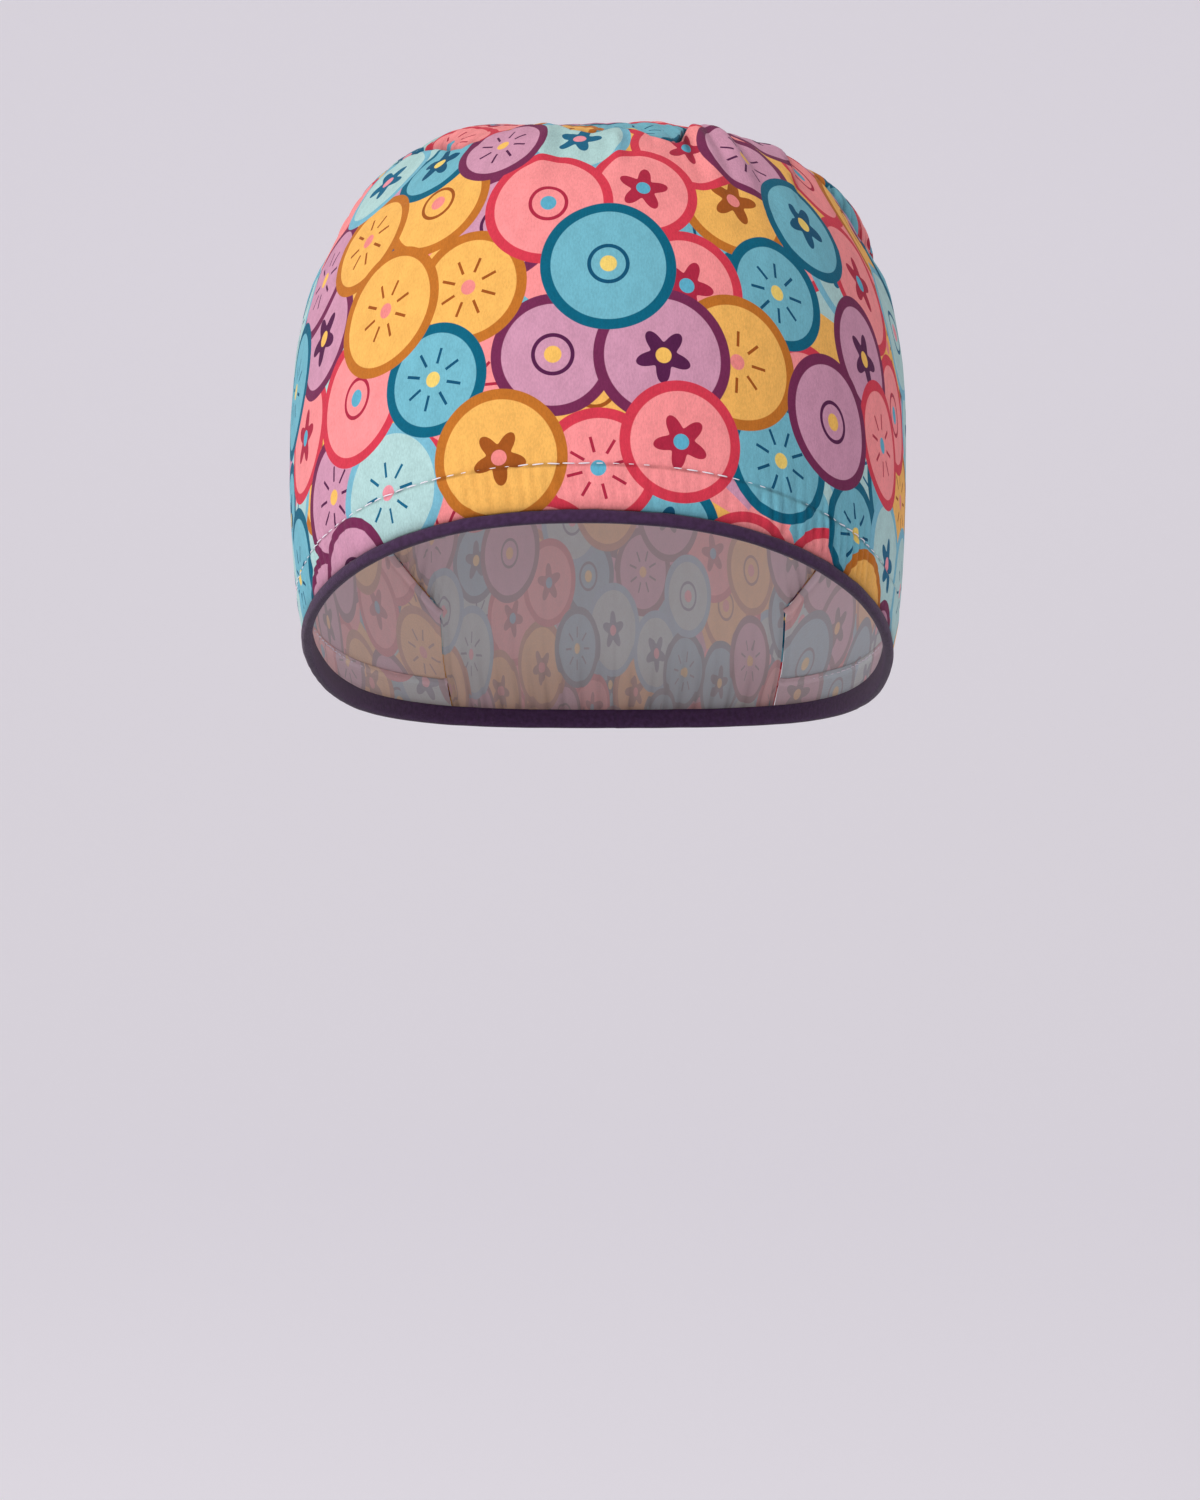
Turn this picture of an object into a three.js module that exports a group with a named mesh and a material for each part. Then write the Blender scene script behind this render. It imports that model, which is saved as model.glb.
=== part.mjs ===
import * as THREE from 'three';

// Scrub cap as worn: a tall front panel round the forehead and sides, a gathered crown over the top
// and back, and a bias binding round the rim. Millimetres, +Z up, the forehead faces -Y.
// The origin is the middle of the head opening, level with the rim over the ears.

// Head opening, to the outer face of the cloth
const openingHalfWidth = 78.2;
const openingFront = 98;
const openingBack = 103;
const frontRimRise = 32;
const backRimDrop = 13;

// Fullest section of the filled cap, and the top of the crown over the origin
const fullHalfWidth = 82.2;
const fullFront = 100.5;
const fullBack = 117;
const crownHeight = 146;

// Azimuth in degrees, from the forehead, at which each end of the front panel is sewn to the crown
const panelReach = 149;

// Cloth, hem, seams and binding
const clothWall = 1.4;
const hemDepth = 12;
const hemStep = 0.6;
const seamGap = 0.5;
const bindingHeight = 2.4;
const bindingThickness = 2.8;

// Depth of the soft folds that hang from the front panel's top seam
const foldDepth = 1.5;

// Gathers of the crown, how far it puffs out past the seam and how far it sinks above that
const gatherCount = 26;
const gatherDepth = 1.7;
const seamPuff = 4.6;
const shoulderSink = 4.8;

// Sections of the cap from the rim (rise 0) to the top of the crown (rise 1).
// swell: share of the way from the opening to the fullest section.
// side, front, back: share of that reach which is left as the crown closes.
// height: share of the way from the rim to the top. square: exponent of the plan's outline.
const sections = [
  { rise: 0.0, swell: 0.0, side: 1.0, front: 1.0, back: 1.0, height: 0.0, square: 2.29 },
  { rise: 0.1, swell: 0.72, side: 1.0, front: 1.0, back: 1.0, height: 0.12, square: 2.3 },
  { rise: 0.2, swell: 0.94, side: 1.0, front: 1.0, back: 1.0, height: 0.25, square: 2.27 },
  { rise: 0.3, swell: 1.0, side: 1.0, front: 0.992, back: 1.0, height: 0.38, square: 2.25 },
  { rise: 0.4, swell: 1.0, side: 0.991, front: 0.97, back: 1.0, height: 0.51, square: 2.22 },
  { rise: 0.5, swell: 1.0, side: 0.951, front: 0.925, back: 0.975, height: 0.638, square: 2.19 },
  { rise: 0.6, swell: 1.0, side: 0.87, front: 0.843, back: 0.925, height: 0.754, square: 2.13 },
  { rise: 0.7, swell: 1.0, side: 0.785, front: 0.7, back: 0.825, height: 0.86, square: 2.05 },
  { rise: 0.8, swell: 1.0, side: 0.66, front: 0.489, back: 0.66, height: 0.935, square: 2.02 },
  { rise: 0.9, swell: 1.0, side: 0.43, front: 0.236, back: 0.4, height: 0.978, square: 2.0 },
  { rise: 1.0, swell: 1.0, side: 0.0, front: 0.0, back: 0.0, height: 1.0, square: 2.0 },
];

// Top seam of the front panel: its rise by azimuth, from the forehead (0) to past the panel's end.
// Behind that end the crown's gathers start along the same line, which runs out at the rim.
const seamLine = [
  { azimuth: 0, rise: 0.725 },
  { azimuth: 25, rise: 0.73 },
  { azimuth: 42, rise: 0.72 },
  { azimuth: 51, rise: 0.69 },
  { azimuth: 58, rise: 0.655 },
  { azimuth: 66, rise: 0.61 },
  { azimuth: 78, rise: 0.572 },
  { azimuth: 90, rise: 0.53 },
  { azimuth: 110, rise: 0.42 },
  { azimuth: 130, rise: 0.29 },
  { azimuth: 148, rise: 0.18 },
  { azimuth: 158, rise: 0.09 },
  { azimuth: 168, rise: 0.0 },
];

// Places where the top seam sags between gathers, or stands up where drop is negative:
// before and after are the spreads in degrees on the two sides
const seamDips = [
  { azimuth: -25, drop: 0.055, before: 8, after: 8 },
  { azimuth: 1, drop: 0.036, before: 6, after: 5 },
  { azimuth: 16.5, drop: 0.065, before: 8, after: 3.5 },
  { azimuth: 40, drop: -0.02, before: 14, after: 12 },
];

// Folds of the front panel: share of foldDepth, outward when positive, by azimuth.
// spread is half the fold's width in degrees, reach its length as a share of the panel's height.
const panelFolds = [
  { azimuth: -52, depth: 0.5, spread: 7, reach: 0.3 },
  { azimuth: -34, depth: -0.6, spread: 6, reach: 0.25 },
  { azimuth: -9, depth: 1.1, spread: 5, reach: 0.3 },
  { azimuth: 6, depth: 0.6, spread: 5, reach: 0.3 },
  { azimuth: 24.5, depth: 2.0, spread: 5.5, reach: 0.3 },
  { azimuth: 38, depth: 0.8, spread: 8, reach: 0.4 },
  { azimuth: 50, depth: 1.0, spread: 4.5, reach: 0.3 },
  { azimuth: 58, depth: 0.5, spread: 5, reach: 0.3 },
  { azimuth: 72, depth: 0.6, spread: 7, reach: 0.5 },
  { azimuth: 96, depth: 0.8, spread: 8, reach: 0.6 },
  { azimuth: 118, depth: -0.7, spread: 7, reach: 0.7 },
  { azimuth: -88, depth: 0.8, spread: 8, reach: 0.6 },
  { azimuth: -112, depth: -0.7, spread: 7, reach: 0.7 },
];

// Crown round the head: shares of seamPuff, shoulderSink and gatherDepth by azimuth
const crownRound = [
  { azimuth: -180, puff: 0.2, sink: 0.0, gather: 1.0 },
  { azimuth: -140, puff: 0.5, sink: 0.0, gather: 1.0 },
  { azimuth: -100, puff: 0.5, sink: 0.1, gather: 1.0 },
  { azimuth: -70, puff: -0.1, sink: 0.3, gather: 0.75 },
  { azimuth: -45, puff: 0.15, sink: 0.15, gather: 0.5 },
  { azimuth: -35, puff: 0.3, sink: 0.05, gather: 0.5 },
  { azimuth: -25, puff: 0.0, sink: 0.0, gather: 0.5 },
  { azimuth: -12, puff: -0.4, sink: 0.0, gather: 0.5 },
  { azimuth: 1, puff: -0.6, sink: 0.0, gather: 0.5 },
  { azimuth: 17, puff: -0.5, sink: 0.0, gather: 0.5 },
  { azimuth: 23, puff: -0.1, sink: 0.1, gather: 0.5 },
  { azimuth: 40, puff: 0.0, sink: 0.5, gather: 0.5 },
  { azimuth: 52, puff: -0.1, sink: 0.85, gather: 0.7 },
  { azimuth: 60, puff: 0.5, sink: 1.0, gather: 1.0 },
  { azimuth: 70, puff: 1.0, sink: 1.0, gather: 1.0 },
  { azimuth: 80, puff: 1.0, sink: 0.85, gather: 1.0 },
  { azimuth: 100, puff: 0.8, sink: 0.3, gather: 1.0 },
  { azimuth: 140, puff: 0.5, sink: 0.0, gather: 1.0 },
  { azimuth: 180, puff: 0.2, sink: 0.0, gather: 1.0 },
];

// Puff, sink and gather depth along a crown meridian, from the seam (along 0) to the top (along 1)
const crownSwell = [
  { along: 0.0, puff: 0.0, sink: 0.0, gather: 0.0 },
  { along: 0.06, puff: 0.6, sink: 0.1, gather: 1.0 },
  { along: 0.15, puff: 1.0, sink: 0.55, gather: 0.9 },
  { along: 0.3, puff: 0.75, sink: 1.0, gather: 0.55 },
  { along: 0.5, puff: 0.35, sink: 0.6, gather: 0.25 },
  { along: 0.75, puff: 0.1, sink: 0.15, gather: 0.08 },
  { along: 1.0, puff: 0.0, sink: 0.0, gather: 0.0 },
];

const columnsPerGather = 4;
const panelRows = [0.2, 0.36, 0.5, 0.64, 0.76, 0.86, 0.94, 1];
const crownRows = [0, 0.015, 0.055, 0.11, 0.18, 0.27, 0.38, 0.5, 0.62, 0.74, 0.85, 0.94, 1];
const bindingSides = 8;
const bindingSquare = 3;

const radians = THREE.MathUtils.degToRad;

// Smooth value of one column of a table at a place along its key column
function lookUp(table, key, place, column) {
  const last = table.length - 1;
  if (place <= table[0][key]) return table[0][column];
  if (place >= table[last][key]) return table[last][column];
  let row = 0;
  while (place > table[row + 1][key]) row += 1;
  const slope = (n) => {
    if (n === 0) return (table[1][column] - table[0][column]) / (table[1][key] - table[0][key]);
    if (n === last) return (table[n][column] - table[n - 1][column]) / (table[n][key] - table[n - 1][key]);
    const before = (table[n][column] - table[n - 1][column]) / (table[n][key] - table[n - 1][key]);
    const after = (table[n + 1][column] - table[n][column]) / (table[n + 1][key] - table[n][key]);
    return before * after <= 0 ? 0 : (2 * before * after) / (before + after);
  };
  const span = table[row + 1][key] - table[row][key];
  const t = (place - table[row][key]) / span;
  const rise = table[row + 1][column] - table[row][column];
  const start = slope(row) * span;
  const end = slope(row + 1) * span;
  return table[row][column] + t * start + t * t * (3 * rise - 2 * start - end)
    + t * t * t * (start + end - 2 * rise);
}

// Height of the rim at a plan depth: a parabola through the forehead, the ears and the nape
function rimHeight(depth) {
  const forward = frontRimRise / openingFront;
  const backward = backRimDrop / openingBack;
  const bend = (forward - backward) / (openingFront + openingBack);
  const lean = -(forward - bend * openingFront);
  return lean * depth + bend * depth * depth;
}

// Distance from the axis to the plan outline of one section
function planRadius(azimuth, rise) {
  const at = (column) => lookUp(sections, 'rise', rise, column);
  const swell = at('swell');
  const across = (openingHalfWidth + (fullHalfWidth - openingHalfWidth) * swell) * at('side');
  const facing = Math.cos(radians(azimuth));
  const deep = facing > 0
    ? (openingFront + (fullFront - openingFront) * swell) * at('front')
    : (openingBack + (fullBack - openingBack) * swell) * at('back');
  if (across <= 0 || deep <= 0) return 0;
  const square = at('square');
  const sum = Math.abs(Math.sin(radians(azimuth)) / across) ** square
    + Math.abs(facing / deep) ** square;
  return sum ** (-1 / square);
}

// Outer face of the filled cap before gathers
function capPoint(azimuth, rise) {
  const rimDepth = -planRadius(azimuth, 0) * Math.cos(radians(azimuth));
  const rim = rimHeight(rimDepth) + bindingHeight + seamGap;
  const radius = planRadius(azimuth, rise);
  const height = rim + (crownHeight - rim) * lookUp(sections, 'rise', rise, 'height');
  return new THREE.Vector3(
    radius * Math.sin(radians(azimuth)),
    -radius * Math.cos(radians(azimuth)),
    height,
  );
}

function capNormal(azimuth, rise) {
  const nearTop = 0.995;
  if (rise > nearTop) return new THREE.Vector3(0, 0, 1);
  const turn = 0.4;
  const climb = 0.004;
  const low = Math.max(0, rise - climb);
  const round = capPoint(azimuth + turn, rise).sub(capPoint(azimuth - turn, rise));
  const up = capPoint(azimuth, Math.min(1, low + 2 * climb)).sub(capPoint(azimuth, low));
  return round.cross(up).normalize();
}

// Rise of the seam, sagging at the dips
function seamRise(azimuth) {
  const dips = seamDips.reduce((sum, dip) => {
    const away = azimuth - dip.azimuth;
    const share = away / (away < 0 ? dip.before : dip.after);
    return sum + dip.drop * Math.exp(-share * share);
  }, 0);
  return lookUp(seamLine, 'azimuth', Math.abs(azimuth), 'rise') - dips;
}

// Rise that a length along the cloth takes at one place
function riseOf(length, azimuth, rise) {
  const step = 0.02;
  const low = Math.min(rise, 1 - step);
  return length * step / capPoint(azimuth, low + step).distanceTo(capPoint(azimuth, low));
}

// Rise that the seam's half gap takes, more where the seam runs steeply
function halfGapRise(azimuth) {
  const turn = 1.5;
  const rise = seamRise(azimuth);
  const perMillimetre = riseOf(1, azimuth, rise);
  const climb = (seamRise(azimuth + turn) - seamRise(azimuth - turn)) / perMillimetre;
  const run = capPoint(azimuth + turn, rise).distanceTo(capPoint(azimuth - turn, rise));
  return (seamGap / 2) * perMillimetre * Math.hypot(1, climb / run);
}

// One closed body from an outer and an inner face, each a grid of rows by columns.
// round: the columns run right round. pole: the last row is one point.
function sheetGeometry(outer, inner, round, pole) {
  const rows = outer.length;
  const columns = outer[0].length;
  const positions = [];
  const triangles = [];
  const place = (face) => face.map((row, r) => {
    const shared = pole && r === rows - 1;
    return row.map((point, c) => {
      if (!shared || c === 0) positions.push(point.x, point.y, point.z);
      return positions.length / 3 - 1;
    });
  });
  const out = place(outer);
  const into = place(inner);
  const quad = (a, b, c, d) => {
    if (a !== b) triangles.push(a, b, c);
    if (c !== d) triangles.push(a, c, d);
  };
  const lastColumn = round ? columns : columns - 1;
  for (let r = 0; r < rows - 1; r += 1) {
    for (let c = 0; c < lastColumn; c += 1) {
      const next = (c + 1) % columns;
      quad(out[r][c], out[r][next], out[r + 1][next], out[r + 1][c]);
      quad(into[r][next], into[r][c], into[r + 1][c], into[r + 1][next]);
    }
    if (!round) {
      quad(into[r][0], out[r][0], out[r + 1][0], into[r + 1][0]);
      quad(out[r][columns - 1], into[r][columns - 1], into[r + 1][columns - 1], out[r + 1][columns - 1]);
    }
  }
  for (let c = 0; c < lastColumn; c += 1) {
    const next = (c + 1) % columns;
    quad(into[0][c], into[0][next], out[0][next], out[0][c]);
    if (!pole) quad(out[rows - 1][c], out[rows - 1][next], into[rows - 1][next], into[rows - 1][c]);
  }
  const geometry = new THREE.BufferGeometry();
  geometry.setAttribute('position', new THREE.Float32BufferAttribute(positions, 3));
  geometry.setIndex(triangles);
  geometry.computeVertexNormals();
  return geometry;
}

// Azimuths of the columns, the same for both panels so that their edges follow each other
const columnCount = gatherCount * columnsPerGather;
const columnStep = 360 / columnCount;
const panelColumns = Math.round(panelReach / columnStep);
const endAzimuth = panelColumns * columnStep;

// How far the front panel's face stands out at its folds, which fade towards the seam and the rim
function foldOffset(azimuth, rise) {
  const line = seamRise(azimuth);
  const below = Math.max(0, (line - rise) / line);
  const start = THREE.MathUtils.smoothstep(below, -0.02, 0.06);
  return panelFolds.reduce((sum, fold) => {
    const away = (azimuth - fold.azimuth) / fold.spread;
    const down = below / fold.reach;
    return sum + foldDepth * fold.depth * start * Math.exp(-away * away - down * down);
  }, 0);
}

function frontPanel() {
  const outer = [];
  const inner = [];
  const azimuths = Array.from({ length: 2 * panelColumns + 1 }, (_, c) => (c - panelColumns) * columnStep);
  const addRow = (riseAt, wall) => {
    const outerRow = [];
    const innerRow = [];
    azimuths.forEach((azimuth) => {
      const rise = riseAt(azimuth);
      const normal = capNormal(azimuth, rise);
      const point = capPoint(azimuth, rise).addScaledVector(normal, foldOffset(azimuth, rise));
      outerRow.push(point);
      innerRow.push(point.clone().addScaledVector(normal, -wall));
    });
    outer.push(outerRow);
    inner.push(innerRow);
  };
  const hemRise = (azimuth) => riseOf(hemDepth, azimuth, 0);
  const topRise = (azimuth) => seamRise(azimuth) - halfGapRise(azimuth);
  const hemEdge = (azimuth) => hemRise(azimuth) + riseOf(hemStep, azimuth, 0);
  addRow(() => 0, clothWall + hemStep);
  addRow(hemRise, clothWall + hemStep);
  addRow(hemEdge, clothWall);
  panelRows.forEach((share) => {
    addRow((azimuth) => hemEdge(azimuth) + share * (topRise(azimuth) - hemEdge(azimuth)), clothWall);
  });
  return sheetGeometry(outer, inner, false, false);
}

// Outer face of the crown: the filled cap with its puff, sink and gathers behind the seam
function crownPoint(azimuth, rise, normal) {
  const line = seamRise(azimuth);
  const along = Math.max(0, (rise - line) / (1 - line));
  const share = (column) => lookUp(crownRound, 'azimuth', azimuth, column)
    * lookUp(crownSwell, 'along', along, column);
  const gather = gatherDepth * share('gather') * Math.cos(radians(azimuth * gatherCount));
  const stand = seamPuff * share('puff') - shoulderSink * share('sink') + gather;
  return capPoint(azimuth, rise).addScaledVector(normal, stand);
}

function crownPanel() {
  // Columns stand at the panel's columns, with two more beside each end of the panel,
  // between which the crown's edge drops from the seam to the rim
  const azimuths = Array.from({ length: columnCount }, (_, c) => (c - columnCount / 2) * columnStep);
  const endGap = seamGap / (radians(1) * planRadius(endAzimuth, 0));
  [1, 2].forEach((step) => azimuths.push(-endAzimuth - step * endGap, endAzimuth + step * endGap));
  azimuths.sort((a, b) => a - b);
  const outer = [];
  const inner = [];
  crownRows.forEach((share, row) => {
    const outerRow = [];
    const innerRow = [];
    azimuths.forEach((azimuth) => {
      const pastPanel = Math.abs(azimuth) > endAzimuth + 1.5 * endGap;
      const line = seamRise(azimuth) + (pastPanel ? 0 : halfGapRise(azimuth));
      const rise = row === 0 && pastPanel ? 0 : line + share * (1 - line);
      const normal = capNormal(azimuth, rise);
      const point = crownPoint(azimuth, rise, normal);
      outerRow.push(point);
      innerRow.push(point.clone().addScaledVector(normal, -clothWall));
    });
    outer.push(outerRow);
    inner.push(innerRow);
  });
  return sheetGeometry(outer, inner, true, true);
}

// Binding: a rounded roll of folded cloth under the edge of both panels
function edgeBinding() {
  const positions = [];
  const triangles = [];
  for (let c = 0; c < columnCount; c += 1) {
    const azimuth = (c - columnCount / 2) * columnStep;
    const out = capNormal(azimuth, 0).setZ(0).normalize();
    const middle = capPoint(azimuth, 0).addScaledVector(out, -clothWall / 2);
    middle.z -= seamGap + bindingHeight / 2;
    for (let s = 0; s < bindingSides; s += 1) {
      const turn = ((s + 0.5) * 2 * Math.PI) / bindingSides;
      const reach = (Math.abs(Math.cos(turn)) ** bindingSquare
        + Math.abs(Math.sin(turn)) ** bindingSquare) ** (-1 / bindingSquare);
      const point = middle.clone().addScaledVector(out, (bindingThickness / 2) * reach * Math.cos(turn));
      point.z += (bindingHeight / 2) * reach * Math.sin(turn);
      positions.push(point.x, point.y, point.z);
      const nextColumn = (c + 1) % columnCount;
      const nextSide = (s + 1) % bindingSides;
      const a = c * bindingSides + s;
      const b = nextColumn * bindingSides + s;
      const d = c * bindingSides + nextSide;
      const e = nextColumn * bindingSides + nextSide;
      triangles.push(a, b, e, a, e, d);
    }
  }
  const geometry = new THREE.BufferGeometry();
  geometry.setAttribute('position', new THREE.Float32BufferAttribute(positions, 3));
  geometry.setIndex(triangles);
  geometry.computeVertexNormals();
  return geometry;
}

const printedCotton = new THREE.MeshStandardMaterial({ color: 0x8fc3d4, roughness: 0.85, metalness: 0 });
const gatheredCotton = new THREE.MeshStandardMaterial({ color: 0xe8a08c, roughness: 0.85, metalness: 0 });
const purpleCotton = new THREE.MeshStandardMaterial({ color: 0x4a2f5a, roughness: 0.8, metalness: 0 });

const cap = new THREE.Group();
const addPiece = (name, geometry, material) => {
  const mesh = new THREE.Mesh(geometry, material);
  mesh.name = name;
  cap.add(mesh);
};
addPiece('front_panel', frontPanel(), printedCotton);
addPiece('crown_panel', crownPanel(), gatheredCotton);
addPiece('edge_binding', edgeBinding(), purpleCotton);

export default cap;
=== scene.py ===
"""Scrub cap: the finish of its cloth, print, gathers, binding and stitches, in metres round the frame."""

import bmesh
import bpy
import math
import numpy as np
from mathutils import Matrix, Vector


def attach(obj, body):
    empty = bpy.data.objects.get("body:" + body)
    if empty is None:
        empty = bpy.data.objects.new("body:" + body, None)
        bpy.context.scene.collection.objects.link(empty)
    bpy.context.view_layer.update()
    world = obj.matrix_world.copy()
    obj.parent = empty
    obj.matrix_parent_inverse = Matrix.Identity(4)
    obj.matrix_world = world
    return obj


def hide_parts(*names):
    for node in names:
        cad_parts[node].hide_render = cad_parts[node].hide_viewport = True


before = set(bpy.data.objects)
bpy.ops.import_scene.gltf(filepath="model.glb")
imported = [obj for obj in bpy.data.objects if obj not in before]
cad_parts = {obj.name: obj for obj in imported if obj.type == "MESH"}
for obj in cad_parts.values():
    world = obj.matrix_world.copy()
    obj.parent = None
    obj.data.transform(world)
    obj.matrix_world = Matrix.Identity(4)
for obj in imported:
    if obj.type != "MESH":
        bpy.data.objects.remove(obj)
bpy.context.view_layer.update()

MM = 0.001

# Sizes of the cap in millimetres, as in the part's source
OPENING_HALF_WIDTH = 78.2
OPENING_FRONT = 98.0
OPENING_BACK = 103.0
FRONT_RIM_RISE = 32.0
BACK_RIM_DROP = 13.0
FULL_HALF_WIDTH = 82.2
FULL_FRONT = 100.5
FULL_BACK = 117.0
CROWN_HEIGHT = 146.0
PANEL_END = 148.85
BINDING_HEIGHT = 2.2
SEAM_GAP = 0.5
FOLD_DEPTH = 1.5
SEAM_PUFF = 4.6
SHOULDER_SINK = 4.8
# Length of one degree round the cap, near enough beside the panel's ends
DEGREE = math.radians(1) * 100.0

# Stretches of the topstitching whose thread stands proud of the cloth: azimuth and spread
PROUD_STITCHES = ((-66, 9), (-47, 5), (-27, 8), (-3, 4), (17, 3), (46, 6), (84, 9), (-104, 12), (122, 12))
# Cloth and sewing, millimetres
CLOTH = 0.45
HEM_DEPTH = 12.5
STITCH_LINE = 11.0
STITCH_PITCH = 3.6
STITCH_LENGTH = 3.25
THREAD_RADIUS = 0.17
# Pitch, seed and unevenness of the crown's fine gathers and of the hem's puckers
GATHERS = (5.2, 11, 0.3)
PUCKERS = (3.1, 6, 0.4)
# Lean of the puckers, along the rim for each millimetre up
PUCKER_LEAN = 0.12
# Length over which a gather turns from its square start at the seam to the line up the crown
GATHER_TURN = 22.0
# Widest shift of the crown's print beside the gathers and how far up it fades
HIDDEN_CLOTH = 3.6
HIDDEN_CLOTH_REACH = 16.0

SECTIONS = {
    "rise": (0.0, 0.1, 0.2, 0.3, 0.4, 0.5, 0.6, 0.7, 0.8, 0.9, 1.0),
    "swell": (0.0, 0.72, 0.94, 1.0, 1.0, 1.0, 1.0, 1.0, 1.0, 1.0, 1.0),
    "side": (1.0, 1.0, 1.0, 1.0, 0.991, 0.951, 0.87, 0.785, 0.66, 0.43, 0.0),
    "front": (1.0, 1.0, 1.0, 0.992, 0.97, 0.925, 0.843, 0.7, 0.489, 0.236, 0.0),
    "back": (1.0, 1.0, 1.0, 1.0, 1.0, 0.975, 0.925, 0.825, 0.66, 0.4, 0.0),
    "height": (0.0, 0.12, 0.25, 0.38, 0.51, 0.638, 0.754, 0.86, 0.935, 0.978, 1.0),
    "square": (2.29, 2.3, 2.27, 2.25, 2.22, 2.19, 2.13, 2.05, 2.02, 2.0, 2.0),
}
SEAM_LINE = {
    "azimuth": (0, 25, 42, 51, 58, 66, 78, 90, 110, 130, 148, 158, 168),
    "rise": (0.725, 0.73, 0.72, 0.69, 0.655, 0.61, 0.572, 0.53, 0.42, 0.29, 0.18, 0.09, 0.0),
}
# Azimuth, drop and the spreads before and after it
SEAM_DIPS = (
    (-25, 0.055, 8, 8), (1, 0.036, 6, 5), (16.5, 0.065, 8, 3.5), (40, -0.02, 14, 12), (64, 0.016, 6, 8),
)

# Folds of the front panel: azimuth, depth, spread in degrees, reach down the panel
PANEL_FOLDS = (
    (-52, 0.5, 7, 0.3), (-34, -0.6, 6, 0.25), (-9, 1.1, 5, 0.3), (6, 0.6, 5, 0.3), (24.5, 1.8, 5.5, 0.3),
    (38, 0.7, 8, 0.4), (50, 0.8, 4.5, 0.3), (58, 0.5, 5, 0.3), (72, 0.6, 7, 0.5), (96, 0.1, 8, 0.6),
    (118, -0.7, 7, 0.7), (-88, 0.8, 8, 0.6), (-112, -0.7, 7, 0.7),
)
# Short soft folds under the top seam: azimuth, depth in millimetres, spread in degrees and length
TOP_FOLDS = (
    (-67, 0.8, 2.5, 22), (-58, -0.9, 2.4, 20), (-46, 0.9, 2.4, 18), (-38, -0.8, 2.2, 14), (-29, 0.8, 2, 10),
    (-20, 0.8, 2, 10), (-10, -0.8, 1.2, 14), (-7, 1.3, 1.1, 22), (-4.2, -1.2, 1.1, 18), (-1, 0.6, 1.4, 10),
    (3.2, -0.8, 1.1, 14), (5.4, 1.4, 1.0, 16), (7.8, -0.9, 1.1, 14), (12, 0.7, 2, 10),
    (18.6, -1.0, 1.2, 20), (21.2, 1.0, 1.1, 26), (24, -1.1, 1.2, 30), (27, 1.1, 1.4, 32),
    (30.4, -0.8, 1.4, 28), (34, 0.5, 1.8, 24), (53, 0.8, 2, 18), (61, -0.8, 2.2, 20), (69, 0.8, 2.5, 22),
)
# Sharp tucks that run down from the seam: azimuth, height, lean per millimetre, length, the side that
# lies under and the width of cloth that the tuck swallows
CREASES = ((18.6, 0.5, 0.02, 9, -1, 2.0), (46.5, 1.0, -0.34, 27, 1, 7.0))
# Crown round the head: shares of its puff, its sink above the puff and its gathers, by azimuth
CROWN_ROUND = {
    "azimuth": (-180, -140, -100, -70, -45, -35, -25, -12, -5, 1, 7, 12, 17, 23, 30, 40, 52, 60, 70, 80,
                100, 140, 180),
    "puff": (0.2, 0.5, 0.5, -0.1, 0.18, 0.33, 0.0, -0.28, -0.27, -0.34, -0.42, -0.44, -0.31, -0.05, 0.0,
             -0.12, -0.2, 0.5, 1.0, 0.75, 0.28, 0.35, 0.2),
    "sink": (0.0, 0.0, 0.1, 0.3, 0.15, 0.06, 0.0, 0.0, 0.0, 0.0, 0.0, 0.0, 0.0, 0.1, 0.27, 0.5,
             0.85, 1.0, 1.0, 0.85, 0.3, 0.0, 0.0),
    "gather": (1.0, 1.0, 1.0, 0.8, 0.6, 0.5, 0.5, 0.5, 0.5, 0.6, 0.6, 0.6, 0.6, 0.6, 0.6, 0.8,
               1.2, 1.4, 1.4, 1.3, 1.1, 1.0, 1.0),
}
PUFF_ALONG = {
    "along": (0.0, 0.06, 0.15, 0.3, 0.5, 0.75, 1.0),
    "puff": (0.0, 0.6, 1.0, 0.75, 0.35, 0.1, 0.0),
    "sink": (0.0, 0.1, 0.55, 1.0, 0.6, 0.15, 0.0),
}


# Shape of the cap

def look_up(table, key, place, column):
    """Smooth value of a table's column at each place along its key column."""
    x, y = np.array(table[key], float), np.array(table[column], float)
    place = np.asarray(place, float)
    steps = np.diff(y) / np.diff(x)
    slopes = np.empty(len(x))
    slopes[0], slopes[-1] = steps[0], steps[-1]
    product = steps[:-1] * steps[1:]
    total = steps[:-1] + steps[1:]
    slopes[1:-1] = np.where(product > 0, 2 * product / np.where(total == 0, 1, total), 0)
    row = np.clip(np.searchsorted(x, place, side="right") - 1, 0, len(x) - 2)
    span = x[row + 1] - x[row]
    t = np.clip((place - x[row]) / span, 0, 1)
    rise = y[row + 1] - y[row]
    start, end = slopes[row] * span, slopes[row + 1] * span
    return y[row] + t * start + t**2 * (3 * rise - 2 * start - end) + t**3 * (start + end - 2 * rise)


def ramp(value, low, high):
    """0 below low, 1 above high and smooth between."""
    t = np.clip((value - low) / (high - low), 0, 1)
    return t * t * (3 - 2 * t)


def rim_height(depth):
    """Height of the rim's line at a depth, from a parabola through its front, its sides and its back."""
    forward, backward = FRONT_RIM_RISE / OPENING_FRONT, BACK_RIM_DROP / OPENING_BACK
    bend = (forward - backward) / (OPENING_FRONT + OPENING_BACK)
    lean = -(forward - bend * OPENING_FRONT)
    return lean * depth + bend * depth**2


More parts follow.
